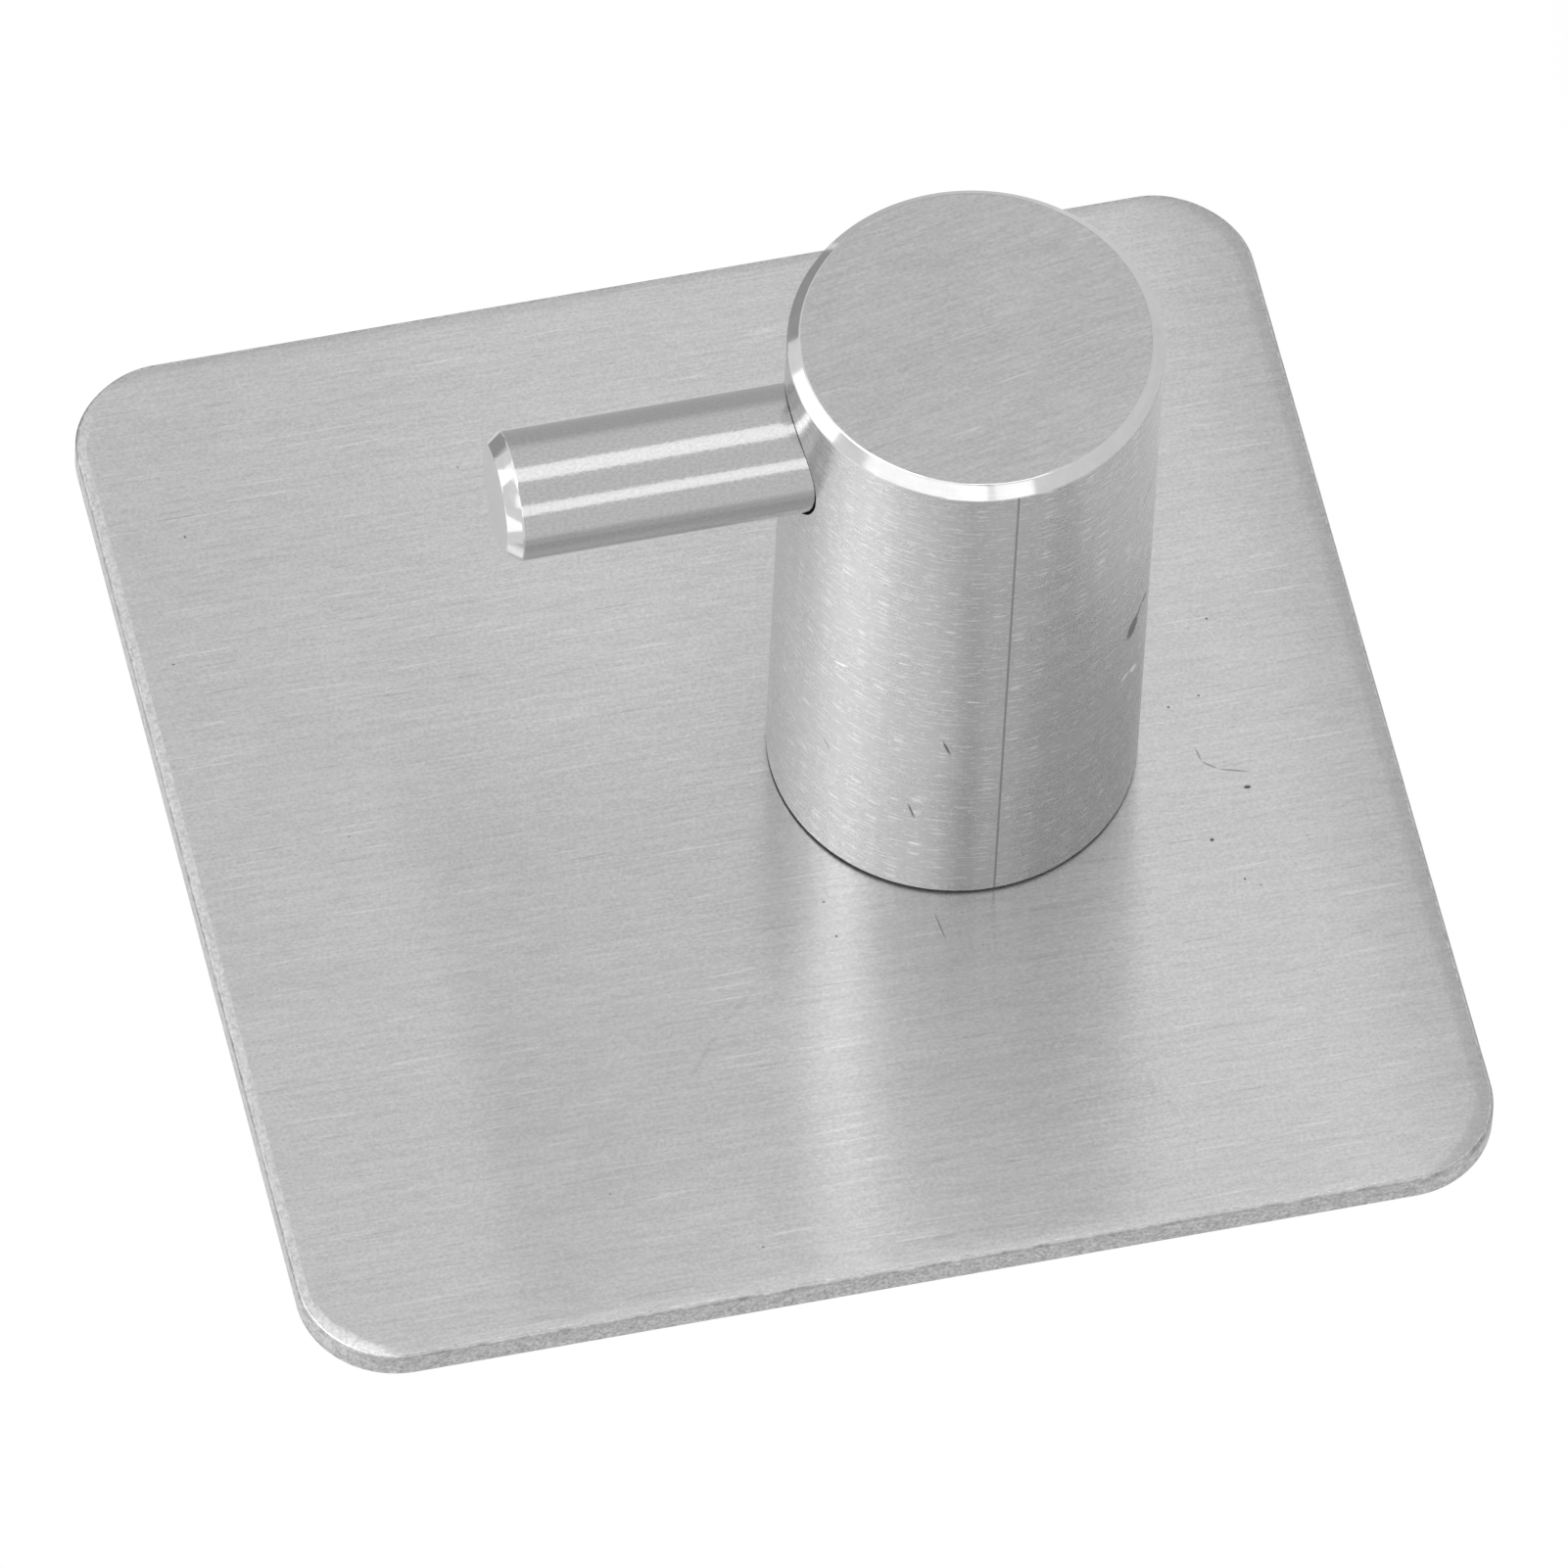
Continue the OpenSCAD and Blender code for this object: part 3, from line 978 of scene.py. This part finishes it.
# %% [markdown]
# The pad itself: a rounded slab with a round window for the screw head. It is soft, so its cut edge is
# never crisp: the two skins are a little rounded, and the foam between them draws in. So its two rims
# are rounded, the window is drilled, and its walls get a few extra rows that move inwards, most at mid
# height. A cloth simulation would do that too, but for a tenth of a millimetre moving the rows is
# exact and quick.

# %% Tape
TAPE_CORNER, TAPE_SKIN, TAPE_DRAW_IN, WINDOW_RADIUS = 2.0 * MM, 0.12 * MM, 0.10 * MM, 5.0 * MM
WALL_ROWS, WALL_FROM, WALL_TO, SIDEWAYS = 5, 0.15, 0.85, 0.5
tape_low, tape_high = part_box("adhesive_pad")
tape_thickness = tape_high.y - tape_low.y
bm = rounded_slab(tape_low, tape_high, TAPE_CORNER)
for y in (tape_low.y, tape_high.y):
    round_rim(bm, y, TAPE_SKIN, segments=3)
pad = place_piece("tape_pad", bm, "adhesive_pad", [tape_finish.material])
drill(pad, WINDOW_RADIUS)
bm = bmesh.new()
bm.from_mesh(pad.data)
walls = [e for e in bm.edges if abs(e.verts[0].co.y - e.verts[1].co.y) > tape_thickness / 2]
bmesh.ops.subdivide_edges(bm, edges=walls, cuts=WALL_ROWS, use_grid_fill=True)
bm.normal_update()
drawn = {}
for vert in bm.verts:
    height = (vert.co.y - tape_low.y) / tape_thickness
    outwards = Vector((vert.normal.x, 0, vert.normal.z))
    if WALL_FROM < height < WALL_TO and outwards.length > SIDEWAYS:
        drawn[vert] = outwards.normalized() * TAPE_DRAW_IN * (1 - (2 * height - 1) ** 2)
for vert, draw in drawn.items():
    vert.co -= draw
bm.to_mesh(pad.data)
bm.free()
smooth_piece(pad)

# %% [markdown]
# The stage: a pale floor some way below the hook, which hangs in the air as it would on a wall, and
# a plain white world. The floor fades out before its edge, so no horizon line shows behind the hook.

# %% Floor and world
FLOOR_DROP, FLOOR_RADIUS, FLOOR_FADE = 60 * MM, 300 * MM, 0.45
FLOOR_STEPS, FLOOR_ROUGHNESS = 96, 0.9
bm = bmesh.new()
bmesh.ops.create_circle(bm, cap_ends=True, segments=FLOOR_STEPS, radius=FLOOR_RADIUS)
bmesh.ops.translate(bm, vec=(0, 0, cad_low.z - FLOOR_DROP), verts=bm.verts)
floor_paint = Finish("pale_floor")
floor_tone = floor_paint.noise(40, detail=2)
floor_paint.feed(floor_paint.shader.inputs["Base Color"],
                 floor_paint.tone(floor_tone, grey(0.66), grey(0.70)))
floor_paint.shader.inputs["Roughness"].default_value = FLOOR_ROUGHNESS
reach = floor_paint.node("ShaderNodeVectorMath", {"operation": "LENGTH"}, Vector=floor_paint.coords)
fade_from, fade_over = (1 - FLOOR_FADE) * FLOOR_RADIUS, FLOOR_FADE * FLOOR_RADIUS
floor_fade = floor_paint.above(reach.outputs["Value"], fade_from, fade_over)
floor_paint.feed(floor_paint.shader.inputs["Alpha"], floor_paint.math("SUBTRACT", 1.0, floor_fade))
floor = place_piece("floor", bm, finishes=[floor_paint.material])

world = bpy.data.worlds.new("white_room")
world.use_nodes = True
world.node_tree.nodes["Background"].inputs["Color"].default_value = (1, 1, 1, 1)
world.node_tree.nodes["Background"].inputs["Strength"].default_value = 1.0
scene.world = world
print("floor", round(FLOOR_DROP / MM), "mm below the plate")

# %% [markdown]
# Lamps. Steel shows whatever stands around it, so the lamps are large and soft. A tall softbox in
# front makes the bright band on the post and its twin in the plate, with a wide faint one behind it
# that softens the band's edges. Lamps on the left make the second bright line on the peg and light
# the post's left half, and two from above light the bevels.
# Each is placed by its bearing from the hook, as a photographer would say it, and none shows in the
# picture itself.

# %% Lamps
STAND_OFF = 0.8


def bearing(turn, rise):
    """turn: degrees to the left of straight ahead; rise: degrees above the horizon."""
    level = cos(radians(rise))
    return Vector((-sin(radians(turn)) * level, -cos(radians(turn)) * level, sin(radians(rise))))


def stand(thing, turn, rise, distance):
    direction = bearing(turn, rise)
    facing = direction.to_track_quat("Z", "Y").to_matrix().to_4x4()
    thing.matrix_world = Matrix.Translation(direction * distance) @ facing
    thing.visible_camera = False


def softbox(name, turn, rise, width, height, glow):
    """glow: the lamp's own brightness, where white is 1."""
    lamp = bpy.data.lights.new(name, "AREA")
    lamp.shape, lamp.size, lamp.size_y = "RECTANGLE", width, height
    lamp.energy = glow * pi * width * height
    holder = bpy.data.objects.new(name, lamp)
    scene.collection.objects.link(holder)
    stand(holder, turn, rise, STAND_OFF)


softbox("lamp_front", 6, 32, 0.26, 0.56, 3.1)
softbox("lamp_front_wide", -4, 28, 0.80, 0.90, 0.45)
softbox("lamp_front_left", 29, 17, 0.26, 0.20, 0.4)
softbox("lamp_front_low", 1, -8, 0.34, 0.28, 0.8)
softbox("lamp_left", 47, 32, 0.30, 0.86, 0.6)
softbox("lamp_left_low", 63, 4, 0.25, 0.60, 0.8)
softbox("lamp_above_right", -42, 68, 0.48, 0.44, 0.9)
softbox("lamp_above_left", 128, 64, 0.50, 0.50, 0.7)

# %% [markdown]
# In a white room steel would be white all round. Grey cards take light away where it isn't wanted: two
# on the right give the round parts their dark side, one on the left darkens the post's far edge, and a
# low strip in front stands for the dark camera. Their sides fade to white, or steel would show a line.

# %% Cards
CARD_WHITE, CARD_SOLID, CARD_STAND_OFF = 0.85, 0.25, 1.1 * STAND_OFF


def card_paint(name, level, width):
    paint = Finish(name)
    sideways = paint.node("ShaderNodeSeparateXYZ", Vector=paint.coords).outputs[0]
    from_middle = paint.math("ABSOLUTE", sideways)
    fade = paint.above(from_middle, CARD_SOLID * width, (0.5 - CARD_SOLID) * width)
    paint.feed(paint.shader.inputs["Base Color"], paint.tone(fade, grey(level), grey(CARD_WHITE)))
    return paint.material


def card(name, turn, rise, width, height, level):
    """level: how light the card's middle is, where white is 1."""
    bm = bmesh.new()
    bmesh.ops.create_grid(bm, x_segments=1, y_segments=1, size=0.5)
    bmesh.ops.scale(bm, vec=(width, height, 1), verts=bm.verts)
    flat = place_piece(name, bm, finishes=[card_paint(name, level, width)])
    stand(flat, turn, rise, CARD_STAND_OFF)


card("card_right", -92, -8, 1.60, 0.50, 0.58)
card("card_right_high", -104, 27, 1.10, 0.55, 0.36)
card("card_left", 136, 5, 0.64, 1.00, 0.62)
card("card_camera", 34, 3, 0.80, 0.08, 0.30)
